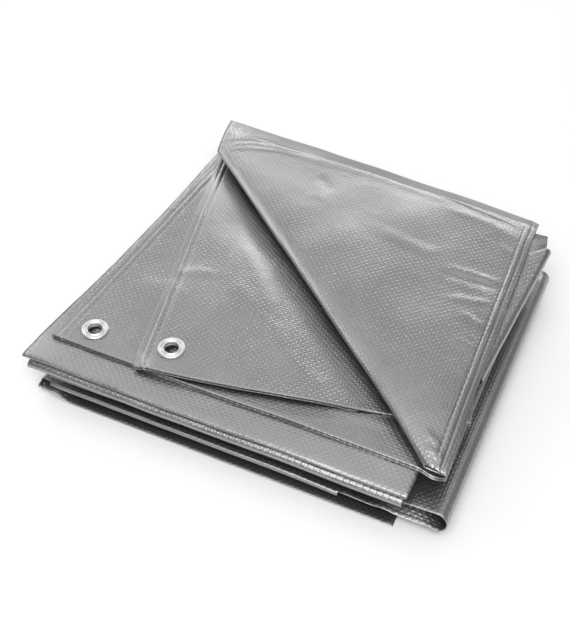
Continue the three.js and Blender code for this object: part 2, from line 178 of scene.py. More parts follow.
# Creases and ridges: the layer, the points they run through, their height and their half width.
# The first three are dips in the layers below the eyelets.
CREASE_REACH = 9.0
CREASE_FADE = {"length": 0.25, "left": 0.15}
CREASES = (
    ("fold", ((0.0281, 0.0463), (0.0641, 0.0463)), -0.0040, 0.0090),
    ("fold", ((0.1006, 0.0500), (0.1406, 0.0500)), -0.0040, 0.0120),
    ("lower", ((0.1026, 0.0500), (0.1386, 0.0500)), -0.0030, 0.0090),
    ("top", ((0.0357, 0.3173), (0.0592, 0.3288), (0.0748, 0.3308), (0.0949, 0.3288), (0.1274, 0.3284)),
     0.0007, 0.0026),
    ("top", ((0.0403, 0.3082), (0.0664, 0.3225), (0.0961, 0.3261), (0.1147, 0.3269)), 0.0006, 0.0020),
    ("top", ((0.0457, 0.3030), (0.0663, 0.3142), (0.0982, 0.3216), (0.1376, 0.3233)), 0.0006, 0.0022),
    ("top", ((0.1200, 0.3275), (0.1800, 0.3260), (0.2400, 0.3220), (0.3100, 0.3190)), 0.0007, 0.0070),
    ("top", ((0.2500, 0.3210), (0.2816, 0.3203), (0.3040, 0.3161), (0.3349, 0.3135), (0.3534, 0.3080)),
     -0.0006, 0.0013),
    ("top", ((0.2700, 0.3080), (0.3240, 0.3050), (0.3540, 0.2930)), 0.0006, 0.0060),
    ("top", ((0.3000, 0.2300), (0.3200, 0.2310), (0.3560, 0.2340)), 0.0013, 0.0032),
    ("top", ((0.3000, 0.2230), (0.3300, 0.2240), (0.3560, 0.2270)), -0.0009, 0.0040),
    ("top", ((0.3400, 0.2790), (0.3540, 0.2750)), 0.0007, 0.0018),
    ("top", ((0.3150, 0.1940), (0.3560, 0.2060)), 0.0008, 0.0030),
    ("top", ((0.3300, 0.1820), (0.3580, 0.1750)), 0.0008, 0.0030),
    ("top", ((0.3350, 0.1500), (0.3600, 0.1480)), 0.0006, 0.0028),
    ("top", ((0.3400, 0.1250), (0.3610, 0.1200)), 0.0006, 0.0028),
    ("top", ((0.2300, 0.2500), (0.2600, 0.2440), (0.3000, 0.2400)), 0.0007, 0.0060),
    ("top", ((0.1500, 0.3020), (0.1700, 0.2820)), -0.0006, 0.0050),
    ("top", ((0.1550, 0.2760), (0.1680, 0.2690)), 0.0005, 0.0016),
    ("top", ((0.3480, 0.0500), (0.3640, 0.0420)), 0.0009, 0.0030),
    ("top", ((0.3530, 0.0380), (0.3700, 0.0330)), 0.0010, 0.0026),
    ("upper", ((0.0790, 0.1340), (0.0841, 0.1364), (0.0984, 0.1444), (0.1215, 0.1493)), 0.0011, 0.0030),
    ("upper", ((0.0800, 0.1290), (0.0846, 0.1167), (0.1082, 0.1067)), 0.0008, 0.0030),
    ("upper", ((0.0830, 0.1100), (0.0875, 0.1040), (0.1083, 0.0972)), 0.0006, 0.0028),
    ("upper", ((0.1080, 0.2100), (0.1500, 0.1600), (0.1900, 0.1150)), 0.0009, 0.0060),
    ("upper", ((0.1250, 0.1500), (0.1600, 0.1250), (0.2050, 0.0950)), 0.0008, 0.0070),
    ("upper", ((0.2000, 0.0900), (0.2600, 0.0620)), 0.0006, 0.0060),
    ("lower", ((0.0560, 0.1160), (0.0780, 0.1200)), 0.0006, 0.0030),
    ("lower", ((0.0500, 0.0850), (0.0640, 0.0700)), 0.0005, 0.0030),
    ("lower", ((0.3600, 0.2935), (0.3793, 0.2809)), 0.0018, 0.0028),
    ("lower", ((0.3600, 0.2685), (0.3783, 0.2559)), 0.0018, 0.0028),
    ("lower", ((0.3650, 0.2200), (0.3790, 0.2150)), 0.0009, 0.0030),
    ("lower", ((0.2600, 0.0500), (0.3200, 0.0560)), 0.0006, 0.0060),
    ("fold", ((0.0250, 0.0500), (0.0500, 0.0200)), 0.0006, 0.0060),
    ("fold", ((0.2900, 0.0350), (0.3500, 0.0200)), 0.0010, 0.0060),
)


class TarpCloth(bpy.types.PropertyGroup):
    """Sizes and colours of the sheet."""
    ply: FloatProperty(name="Ply", description="Thickness of one layer of cloth",
                       default=0.0008, unit="LENGTH")
    hem: FloatProperty(name="Hem", description="Thickness of a narrow hem", default=0.0012, unit="LENGTH")
    hem_width: FloatProperty(name="Hem width", description="Width of the hems that hold the eyelets",
                             default=0.042, unit="LENGTH")
    side_hem: FloatProperty(name="Side hem", description="Width of the narrow hems",
                            default=0.0100, unit="LENGTH")
    pitch: FloatProperty(name="Weave pitch", description="Width of one tape of the weave",
                         default=0.0028, unit="LENGTH")
    colour: FloatVectorProperty(name="Cloth colour", description="Colour of the coated cloth",
                                default=(0.40, 0.404, 0.41), subtype="COLOR")
    # The colour between the tapes is painted shade: the cloth is drawn darker where the weave is low.
    valley_shade: FloatVectorProperty(name="Valley colour", description="Colour between the tapes",
                                default=(0.29, 0.293, 0.298), subtype="COLOR")


class TarpStitch(bpy.types.PropertyGroup):
    """Sizes and colour of the stitches along the narrow hems."""
    pitch: FloatProperty(name="Pitch", description="Length of one stitch and its gap",
                         default=0.0064, unit="LENGTH")
    length: FloatProperty(name="Length", description="Length of one stitch", default=0.0032, unit="LENGTH")
    width: FloatProperty(name="Width", description="Width of the thread", default=0.0008, unit="LENGTH")
    colour: FloatVectorProperty(name="Thread colour", description="Colour of the thread",
                                default=(0.58, 0.58, 0.58), subtype="COLOR")


class TarpEyelet(bpy.types.PropertyGroup):
    """Sizes and colour of the eyelets."""
    cut: FloatProperty(name="Cut", description="Radius of the hole in the cloth",
                       default=0.0082, unit="LENGTH")
    colour: FloatVectorProperty(name="Metal colour", description="Colour of the eyelets",
                                default=(0.72, 0.725, 0.72), subtype="COLOR")


class TarpStage(bpy.types.PropertyGroup):
    """Camera, floor and light."""
    azimuth: FloatProperty(name="Azimuth", description="Camera angle to the right of the front",
                           default=math.radians(24.65), subtype="ANGLE")
    elevation: FloatProperty(name="Elevation", description="Camera angle above the floor",
                             default=math.radians(46.19), subtype="ANGLE")
    distance: FloatProperty(name="Distance", description="Camera distance from its aim",
                            default=0.974, unit="LENGTH")
    lens: FloatProperty(name="Lens", description="Focal length in millimetres", default=61.37)
    floor: FloatVectorProperty(name="Floor colour", description="Colour of the floor",
                               default=(0.95, 0.95, 0.95), subtype="COLOR")
    room: FloatProperty(name="Room light", description="Strength of the even light of the room", default=0.32)


def mix(a, b, t):
    return a + (b - a) * t


def smooth(start, full, value):
    t = min(max((value - start) / (full - start), 0.0), 1.0)
    return t * t * (3.0 - 2.0 * t)


def spread(count, start=0.0, stop=1.0):
    return [mix(start, stop, i / count) for i in range(count + 1)]


def lean(x, y):
    inward = 1.0 - (1.0 - min(max(y / PACKET_DEPTH, 0.0), 1.0)) ** LEAN_POWER
    return x + LEFT_LEAN * inward * (1.0 - x / PACKET_LENGTH)


def settled(p):
    """A point with the unevenness of the whole stack."""
    share = smooth(WAVE["start"], WAVE["full"], p.z)
    swell = math.sin(math.tau * p.x / WAVE["length_x"]) * math.cos(math.tau * p.y / WAVE["length_y"])
    rumple = noise.noise(Vector((p.x, p.y, 0.0)) * RUMPLE["per_metre"])
    return p + Vector((0, 0, share * (WAVE["height"] * swell + RUMPLE["height"] * rumple)))


def crease_height(x, y, points, height, width):
    """Height of one crease at a place, fading towards its two ends."""
    best = 0.0
    count = len(points) - 1
    for k in range(count):
        (ax, ay), (bx, by) = points[k], points[k + 1]
        dx, dy = bx - ax, by - ay
        t = ((x - ax) * dx + (y - ay) * dy) / (dx * dx + dy * dy)
        t = min(max(t, 0.0), 1.0)
        away = ((x - ax - dx * t) ** 2 + (y - ay - dy * t) ** 2) / (width * width)
        if away > CREASE_REACH:
            continue
        place = (k + t) / count
        ends = smooth(0.0, CREASE_FADE["length"], place) * smooth(1.0, 1.0 - CREASE_FADE["length"], place)
        fade = ends * (1.0 - CREASE_FADE["left"]) + CREASE_FADE["left"]
        best = max(best, math.exp(-away) * fade)
    return height * best


def relief(layer, x, y):
    """Height of all the creases on a layer."""
    return sum(crease_height(x, y, points, height, width)
               for name, points, height, width in CREASES if name == layer)


def half_turn(from_z, to_z, reach=None, count=10):
    """Points of a half turn without its two ends: the run out of the fold, the height and the share."""
    radius = (to_z - from_z) / 2
    reach = abs(radius) if reach is None else reach
    for t in spread(count)[1:-1]:
        yield reach * math.sin(math.pi * t), from_z + radius * (1.0 - math.cos(math.pi * t)), t


def along(points):
    """Points of one section outside the hems, each with its spot on the flat cloth and no share of a hem."""
    length = 0.0
    last = points[0]
    section = []
    for point in points:
        length += (point - last).length
        last = point
        section.append((point, (point.x, length), 0.0))
    return section


# Steps across the packet and along each part of the sheet, where the second ply starts to fall to the right,
# and the shares of the depth where the lower plies have points.
ACROSS = 76
BOTTOM_STEPS = 40
SECOND_STEPS = 60
WRAP_STEPS = 8
WRAP_TURN_STEPS = 16
FOLD_TURN_STEPS = 12
BACK_TURN_STEPS = 14
DIAGONAL_STEPS = 18
CORNER_STEPS = 8
SIDE_STEPS = 50
TIP_STEPS = 30
UNDER_STEPS = 6
LOWER_FLAP_STEPS = 50
HEM_STEPS = 16
SIDE_STITCH_STEPS = 160
FLAP_STITCH_STEPS = 60
SECOND_FALL = 0.6
LOWER_DEPTH = (0.0, 0.008, 0.02, 0.035, 0.06, 0.1, 0.2, 0.35, 0.5, 0.65, 0.8, 0.9, 0.95, 1.0)


def lower_stations():
    """Front edge, back edge, x and height along the lower plies, from the bottom ply's free end."""
    ply, loop, second, third = BOTTOM_PLY, LEFT_LOOP, SECOND_PLY, THIRD_PLY
    low = (ply["front"], ply["back"])
    mid = (second["front"], second["back"])
    stations = [(*low, x, ply["z"]) for x in spread(BOTTOM_STEPS, ply["right"], ply["left"])]
    stations += [(*low, x, z) for x, z in LOOP_RISE]
    turn = [(0.0, loop["low"], 0.0), *half_turn(loop["low"], loop["high"])]
    stations += [(*(low if t < 0.5 else mid), loop["x"] - run, z) for run, z, t in turn]
    stations.append((*mid, loop["x"], loop["high"]))
    for t in spread(SECOND_STEPS):
        z = mix(second["z"], second["z_right"], smooth(SECOND_FALL, 1.0, t))
        stations.append((*mid, mix(second["left"], second["right"], t), z))
    for run, z, t in half_turn(second["z_right"], third["z_end"], None, WRAP_TURN_STEPS):
        stations.append((mix(second["front"], third["front_end"], t), mix(second["back"], third["back"], t),
                         second["right"] + run, z))
    stations += [(third["front_end"], third["back"], mix(third["end"], third["right"], t),
                  mix(third["z_end"], third["z_right"], t)) for t in spread(WRAP_STEPS)[:-1]]
    stations += [(mix(third["front_end"], third["front"], t), third["back"],
                  mix(third["right"], third["left"], t), mix(third["z_right"], third["z"], t))
                 for t in spread(ACROSS)]
    return stations


def crumple(x, y, z):
    """Crumpled height of the second ply where it shows inside the wrap."""
    inside = smooth(CRUMPLE["left"], CRUMPLE["left_full"], x)
    inside *= smooth(SECOND_PLY["right"], CRUMPLE["right_full"], x)
    near = 1.0 - smooth(0.0, CRUMPLE["depth"], y)
    bumps = noise.noise(Vector((x, y * CRUMPLE["stretch"], CRUMPLE["seed"])) * CRUMPLE["per_metre"])
    lift = CRUMPLE["height"] * near * (bumps + CRUMPLE["mean"])
    lift += CRUMPLE["rise"] * smooth(0.0, CRUMPLE["rise_depth"], y)
    return lift * inside if z < SECOND_PLY["z"] else 0.0


def lower_rows():
    rows = []
    length = 0.0
    last = None
    for front, back, x, z in lower_stations():
        here = Vector((x, 0.0, z))
        length += 0.0 if last is None else (here - last).length
        last = here
        row = []
        for t in LOWER_DEPTH:
            y = mix(front, back, t)
            lifted = z + (crumple(x, y, z) if z > LEFT_LOOP["low"] else 0.0)
            row.append((Vector((lean(x, y), y, lifted)), (length, y), 0.0))
        rows.append(row)
    return rows


def rolled_hem_rows():
    rows = []
    drop, width = ROLLED_HEM["drop"], ROLLED_HEM["width"]
    for front, _, x, z in lower_stations():
        on_second = front == SECOND_PLY["front"] and z > LEFT_LOOP["low"]
        if not (on_second and SECOND_PLY["left"] <= x <= ROLLED_HEM["right"]):
            continue
        turn = [(run, h) for run, h, _ in half_turn(z, z - drop)]
        roll = [(0.0, z), *turn, (0.0, z - drop), (-width, z - drop)]
        rows.append(along([Vector((lean(x, front - run), front - run, h)) for run, h in roll]))
    return rows


DEPTH = (0.0, 0.02, 0.04, 0.06, 0.08, 0.09, 0.10, 0.115, 0.13, 0.145, 0.16, 0.18, 0.21, 0.25, 0.4, 0.7, 1.0)


def fold_section(u):
    """One section of the middle and upper folds, from the third ply's back edge to the top layer's."""
    third = {**THIRD_PLY, "z": mix(THIRD_PLY["z"], THIRD_PLY["z_right"], u), "nose": 0.0}
    plies = [third, *PLIES]
    points = []

    def add(one, other, t, y, z):
        x = lean(mix(mix(one["left"], other["left"], t), mix(one["right"], other["right"], t), u), y)
        if one is other is plies[-1]:
            swell = smooth(UPPER_FOLD_SWELL["start"], UPPER_FOLD_SWELL["depth"], y)
            z += UPPER_FOLD_SWELL["height"] * swell + relief("fold", x, y)
        points.append(Vector((x, y, z)))

    add(third, third, 0.0, third["back"], third["z"])
    for k, ply in enumerate(plies):
        forward = k % 2 == 1
        if k > 0:
            for t in reversed(DEPTH) if forward else DEPTH:
                add(ply, ply, 0.0, mix(ply["front"], ply["back"], t), ply["z"])
        if k + 1 == len(plies):
            break
        after = plies[k + 1]
        for run, z, t in half_turn(ply["z"], after["z"], ply["nose"] or None, FOLD_TURN_STEPS):
            add(ply, after, t, ply["front"] - run if forward else ply["back"] + run, z)
    start = points[-1].copy()
    top = top_back(u)
    for run, z, t in half_turn(start.z, top.z, None, BACK_TURN_STEPS):
        points.append(Vector((mix(start.x, top.x, t), mix(start.y, top.y, t) + run, z)))
    points.append(top)
    return along(points)


def top_back(u):
    return Vector((mix(TOP_BACK["left"], TOP_BACK["right"], u), TOP_BACK["y"], TOP_BACK["z"]))


def tip_at(row):
    """The tip's values at a row between the end of the right side and the last row."""
    place = min(max(row - TIP_ROW, 0.0), LAST_ROW - TIP_ROW - 1e-9)
    k = int(place)
    return {c: mix(TIP[k][c], TIP[k + 1][c], place - k) for c in TIP_COLUMNS}


def under_edge(row):
    """Outer edge of the top layer's underside."""
    if row <= BACK_ROWS:
        return top_back(row / BACK_ROWS)
    corner = Vector((*TOP_CORNER, TOP_BACK["z"]))
    side = Vector((TOP_SIDE["back_x"], TOP_SIDE["back"], TOP_SIDE["z"]))
    if row <= CORNER_ROW:
        return top_back(1.0).lerp(corner, row - BACK_ROWS)
    if row <= SIDE_ROW:
        return corner.lerp(side, row - CORNER_ROW)
    if row <= TIP_ROW:
        t = (row - SIDE_ROW) / (TIP_ROW - SIDE_ROW)
        return side.lerp(Vector((TOP_SIDE["front_x"], TOP_SIDE["front"], TOP_SIDE["z"])), t)
    tip = tip_at(row)
    return Vector((tip["x"], tip["y"], tip["z"]))


def over_edge(row):
    """Outer edge of the folded-over corner."""
    if row <= CORNER_ROW:
        return OVER_BACK_LEFT.lerp(OVER_BACK_RIGHT, row / CORNER_ROW)
    t = (row - CORNER_ROW) / (LAST_ROW - CORNER_ROW)
    x, y = mix(OVER_BACK_RIGHT.x, OVER_TIP[0], t), mix(OVER_BACK_RIGHT.y, OVER_TIP[1], t)
    return Vector((x, y, tip_at(row)["edge"]))


def inset_from(a, b, x, y):
    """Distance of a place inwards from the edge that runs from a to b."""
    run = b - a
    return (run.x * (y - a.y) - run.y * (x - a.x)) / run.length


def edge_insets(x, y):
    """Distances from the folded-over corner's back edge and right edge."""
    back = inset_from(OVER_BACK_RIGHT.xy, OVER_BACK_LEFT.xy, x, y)
    side = inset_from(Vector(OVER_TIP), OVER_BACK_RIGHT.xy, x, y)
    return max(back, 0.0), max(side, 0.0)


def hem_profile(inset, width):
    """Rise and share of thickness of a narrow hem: a flat band with a groove along each row of stitches."""
    share = 1.0 - smooth(width - HEM_EDGE, width + HEM_EDGE, inset)
    grooves = sum(math.exp(-((inset - width * place) / HEM_GROOVE["width"]) ** 2) for place in HEM_ROWS)
    return HEM_RISE * share - HEM_GROOVE["depth"] * grooves, share


def edge_fall(x, y):
    """How far the folded-over corner falls towards its back and right edges."""
    back, side = edge_insets(x, y)
    t = min(max((x - OVER_BACK_LEFT.x) / (OVER_BACK_RIGHT.x - OVER_BACK_LEFT.x), 0.0), 1.0)
    fall = 0.0
    for curve in (BACK_CURVE, BACK_SLOPE):
        near = max(1.0 - back / mix(*curve["reach"], t), 0.0)
        fall += mix(*curve["drop"], t) * near ** curve["power"]
    beside = max(1.0 - side / SIDE_CURVE["reach"], 0.0)
    return fall + SIDE_CURVE["drop"] * beside ** SIDE_CURVE["power"]


def turn_frame(row):
    """Radius, axis and outward direction of the diagonal turn at a row."""
    f = row / LAST_ROW
    turn = DIAGONAL_TURN
    radius = mix(turn["ends"], turn["middle"], max(math.sin(math.pi * f), 0.0) ** turn["power"])
    fold = DIAGONAL[0].lerp(DIAGONAL[1], f).xy
    over, under = over_edge(row), under_edge(row)
    away = ((over.xy - fold).normalized() + (under.xy - fold).normalized()).normalized()
    return radius, fold + away * radius, away


def roll_height(row, inward):
    """Height share of the roll's upper side at a way in from the fold: none at the fold, full past it."""
    reach = mix(ROLL["ends"], ROLL["middle"], max(math.sin(math.pi * row / LAST_ROW), 0.0))
    wide = max(1.0 - inward / reach, 0.0)
    tight = max(1.0 - inward / (2.0 * turn_frame(row)[0]), 0.0)
    return (1.0 - ROLL["share"] * wide * wide) * math.sqrt(max(1.0 - tight * tight, 0.0))


def top_point(row, s, hem_width):
    """A point of the folded-over corner, at a share s of the way from its outer edge to the diagonal turn."""
    radius, axis, _ = turn_frame(row)
    over = over_edge(row)
    high = under_edge(row).z + 2 * radius
    edge = mix(BACK_HEIGHT, over.z + SIDE_RISE, smooth(*EDGE_ROWS, row))
    x, y = mix(over.x, axis.x, s), mix(over.y, axis.y, s)
    hold = smooth(1.0, TURN_HOLD, s)
    inward = (1.0 - s) * (over.xy - axis).length + radius
    z = mix(high, edge, (1.0 - s) ** DROOP) - edge_fall(x, y) * hold + relief("top", x, y) * hold
    z -= radius * (1.0 - roll_height(row, inward))
    rise, share = hem_profile(edge_insets(x, y)[1], hem_width)
    return Vector((x, y, z + rise)), share


# Points lie closer together near the outer edge than further in.
TOP_EDGE = {"share": 0.26, "steps": 40}
TOP_INNER_STEPS = 34
TOP_SHARES = [*spread(TOP_EDGE["steps"], 0.0, TOP_EDGE["share"]),
              *spread(TOP_INNER_STEPS, TOP_EDGE["share"], 1.0)[1:]]
TOP_ROWS = [*spread(ACROSS, 0, BACK_ROWS), *spread(CORNER_STEPS, BACK_ROWS, CORNER_ROW)[1:],
            *spread(CORNER_STEPS, CORNER_ROW, SIDE_ROW)[1:], *spread(SIDE_STEPS, SIDE_ROW, TIP_ROW)[1:],
            *spread(TIP_STEPS, TIP_ROW, LAST_ROW)[1:]]


def top_section(row, hem_width):
    """From the folded-over corner's outer edge, round the diagonal turn, to the underside's outer edge."""
    radius, axis, away = turn_frame(row)
    under = under_edge(row)
    section = []
    for s in TOP_SHARES:
        p, share = top_point(row, s, hem_width)
        section.append((p, tuple(p.xy), share))
    for run, z, t in half_turn(under.z + 2 * radius, under.z, radius, DIAGONAL_STEPS):
        p = axis - away * run
        if t < 0.5:
            z = under.z + radius * (1.0 + roll_height(row, radius - run))
        section.append((Vector((*p, z)), tuple(axis - away * (math.pi * radius * t)), 0.0))
    for t in spread(UNDER_STEPS):
        p = axis.lerp(under.xy, t)
        section.append((Vector((*p, under.z)), tuple(axis * 2 - away * (math.pi * radius) - p), 0.0))
    return section


def upper_flap_z(x, y):
    low, high = UPPER_SWELL
    swell = UPPER_FLAP["swell"] * math.sin(math.pi * min(max((x - low) / (high - low), 0.0), 1.0))
    droop = CORNER_DROOP
    beside = math.exp(-((x - UPPER_FLAP["corner"][0]) / droop["width"]) ** 2)
    start, stop = DIAGONAL
    run = (stop - start).xy
    before = (run.x * (y - start.y) - run.y * (x - start.x)) / run.length
    trough = UPPER_TROUGH["drop"] * smooth(-UPPER_TROUGH["reach"], 0.0, before)
    fall = droop["drop"] * beside * smooth(droop["start"], droop["full"], y)
    return UPPER_FLAP["z"] + swell - trough - fall


def lower_flap_z(x, y):
    reach = ((x - DIP["x"]) / DIP["width"]) ** 2 + ((y - LOWER_FLAP["front"]) / DIP["inward"]) ** 2
    return LOWER_FLAP["z"] - DIP["depth"] * math.exp(-reach)


def upper_flap(x, inward):
    """A point of the upper flap: x along its bowed front edge, and the way in from that edge."""
    flap = UPPER_FLAP
    run = x - flap["corner"][0]
    px = x + flap["side"][0] * inward
    y = flap["corner"][1] + flap["slope"] * run + flap["bow"] * run * run + flap["side"][1] * inward
    return Vector((px, y, upper_flap_z(px, y)))


def lower_flap(u, y):
    flap = LOWER_FLAP
    t = (y - flap["front"]) / (flap["back"] - flap["front"])
    x = mix(mix(flap["left"], flap["left_back"], t), mix(flap["right"], flap["right_back"], t), u)
    return Vector((x, y, lower_flap_z(x, y)))


# Columns of a flap: the share at its right end and the way past its left hem where they lie closer together.
FLAP_RIGHT = {"share": 0.06, "steps": 10}
FLAP_MIDDLE_STEPS = 58
FLAP_LEFT = {"past_hem": 0.002, "steps": 12}


def flap_columns(width, hem):
    """Shares of the way across a flap from right to left."""
    inner = 1.0 - (hem + FLAP_LEFT["past_hem"]) / width
    right = FLAP_RIGHT["share"]
    return [*spread(FLAP_RIGHT["steps"], 0.0, right), *spread(FLAP_MIDDLE_STEPS, right, inner)[1:],
            *spread(FLAP_LEFT["steps"], inner, 1.0)[1:]]


def upper_flap_row(row, hem_width, columns):
    t = (row - SIDE_ROW) / (TIP_ROW - SIDE_ROW)
    flap = UPPER_FLAP
    front_right = TOP_SIDE["front_x"] - flap["side"][0] * hem_width
    points = []
    for c in columns:
        front = upper_flap(mix(front_right, flap["corner"][0], c), hem_width)
        back = Vector((TOP_SIDE["back_x"], TOP_SIDE["back"])).lerp(Vector(flap["back_left"]), c)
        x, y = mix(back.x, front.x, t), mix(back.y, front.y, t)
        points.append(Vector((x, y, upper_flap_z(x, y))))
    return points


def upper_spot(p):
    """Spot on the flat cloth of a point of the upper flap, along and across its front edge."""
    sx, sy = UPPER_FLAP["side"]
    return (p.x * sy - p.y * sx, p.x * sx + p.y * sy)


def dressed(p, layer, spot, inset, hem_width, fade=1.0):
    """A point of a flap with its creases and its left hem."""
    rise, share = hem_profile(inset, hem_width)
    lift = Vector((0, 0, rise + relief(layer, p.x, p.y) * fade))
    return (p + lift, spot, share)


def upper_flap_rows(cloth, columns):
    rows = []
    for row in spread(SIDE_STEPS, SIDE_ROW, TIP_ROW):
        edge = under_edge(row)
        flap = upper_flap_row(row, cloth.hem_width, columns)
        start = flap[0]
        section = [(edge, upper_spot(edge), 0.0)]
        for run, z, t in half_turn(edge.z, start.z):
            p = Vector((mix(edge.x, start.x, t) + run, mix(edge.y, start.y, t), z))
            section.append((p, upper_spot(p), 0.0))
        for p in flap:
            fade = smooth(0, UPPER_CREASE_START, start.x - p.x)
            section.append(dressed(p, "upper", upper_spot(p), p.x - flap[-1].x, cloth.side_hem, fade))
        rows.append(section)
    return rows


def upper_hem_rows(cloth, columns, drop=0.0):
    """The upper flap's front hem, from its inner line to the front edge."""
    corner = UPPER_FLAP["corner"][0]
    right = TOP_SIDE["front_x"] - UPPER_FLAP["side"][0] * cloth.hem_width
    rows = []
    for t in spread(HEM_STEPS):
        points = [upper_flap(mix(right, corner, c), cloth.hem_width * (1.0 - t)) for c in columns]
        fall = Vector((0, 0, mix(cloth.ply, drop, smooth(0, UNDER_PLY_FULL, t)))) if drop else Vector()
        rows.append([dressed(p - fall, "upper", upper_spot(p), p.x - points[-1].x, cloth.side_hem)
                     for p in points])
    return rows


def lower_flap_rows(back_edge, cloth, columns):
    rows = []
    hem_line = LOWER_FLAP["front"] + cloth.hem_width
    for start, c in zip(back_edge, columns):
        depth = [lower_flap(1.0 - c, y) for y in spread(LOWER_FLAP_STEPS, start.y, hem_line)]
        section = [(start, tuple(start.xy), 0.0)]
        for run, z, t in half_turn(start.z, depth[0].z):
            p = Vector((mix(start.x, depth[0].x, t), mix(start.y, depth[0].y, t) + run, z))
            section.append((p, tuple(p.xy), 0.0))
        width = LOWER_FLAP["right"] - LOWER_FLAP["left"]
        for p in depth:
            fade = smooth(0, LOWER_CREASE_START, start.y - p.y)
            section.append(dressed(p, "lower", tuple(p.xy), (1.0 - c) * width, cloth.side_hem, fade))
        rows.append(section)
    return rows


def lower_hem_rows(cloth, columns, drop=0.0):
    """The lower flap's front hem, from its inner line to the front edge."""
    front = LOWER_FLAP["front"]
    width = LOWER_FLAP["right"] - LOWER_FLAP["left"]
    rows = []
    for c in columns:
        row = []
        for t in spread(HEM_STEPS):
            p = lower_flap(1.0 - c, front + cloth.hem_width * (1.0 - t))
            fall = Vector((0, 0, mix(cloth.ply, drop, smooth(0, UNDER_PLY_FULL, t)))) if drop else Vector()
            row.append(dressed(p - fall, "lower", tuple(p.xy), (1.0 - c) * width, cloth.side_hem))
        rows.append(row)
    return rows


def add_patch(bm, rows, hole=None):
    """A grid of quads laid on rows of points, with each point's spot on the flat cloth in the UV map."""
    spots = bm.loops.layers.uv.verify()
    thick = bm.verts.layers.deform.verify()
    deep, wide = len(rows) - 1, len(rows[0]) - 1
    grid = bmesh.ops.create_grid(bm, x_segments=wide, y_segments=deep, size=0.5)["verts"]
    spot_of = {}
    for vert in grid:
        point, spot, share = rows[round((vert.co.y + 0.5) * deep)][round((vert.co.x + 0.5) * wide)]
        vert.co = settled(point) + CORNER
        vert[thick][0] = share
        spot_of[vert] = spot
    for face in {face for vert in grid for face in vert.link_faces}:
        face.smooth = True
        for loop in face.loops:
            loop[spots].uv = spot_of[loop.vert]
    if hole:
        cut_hole(bm, grid, *hole)


def cut_hole(bm, verts, place, radius):
    """A round hole through one patch, its edge moved onto the circle."""
    centre = CORNER.xy + Vector(place)
    inside = {face for vert in verts for face in vert.link_faces
              if (face.calc_center_median().xy - centre).length < radius}
    rim = {vert for face in inside for vert in face.verts if any(f not in inside for f in vert.link_faces)}
    bmesh.ops.delete(bm, geom=list(inside), context="FACES")
    for vert in rim:
        vert.co.xy = centre + (vert.co.xy - centre).normalized() * radius


def node_tree(name):
    material = bpy.data.materials.new(name)
    material.use_nodes = True
    return material, material.node_tree


def add_node(tree, kind, values=None, **settings):
    node = tree.nodes.new(kind)
    for key, value in settings.items():
        setattr(node, key, value)
    for socket, value in (values or {}).items():
        node.inputs[socket].default_value = value
    return node


def maths(tree, operation, a, b=None):
    node = add_node(tree, "ShaderNodeMath", operation=operation)
    for socket, value in zip(node.inputs, (a, b)):
        if value is None:
            continue
        if isinstance(value, bpy.types.NodeSocket):
            tree.links.new(value, socket)
        else:
            socket.default_value = value
    return node.outputs[0]


def weave_height(tree, pitch, spots):
    """Height of a plain weave of flat tapes: a high pillow at every other crossing and a low one between."""
    split = add_node(tree, "ShaderNodeSeparateXYZ")
    tree.links.new(spots, split.inputs[0])
    warp = maths(tree, "COSINE", maths(tree, "MULTIPLY", split.outputs[0], math.pi / pitch))
    weft = maths(tree, "COSINE", maths(tree, "MULTIPLY", split.outputs[1], math.pi / pitch))
    cross = maths(tree, "MULTIPLY", warp, weft)
    high = maths(tree, "POWER", maths(tree, "MAXIMUM", cross, 0.0), 0.7)
    low = maths(tree, "POWER", maths(tree, "MAXIMUM", maths(tree, "MULTIPLY", cross, -1.0), 0.0), 0.8)
    return maths(tree, "ADD", high, maths(tree, "MULTIPLY", low, 0.35))


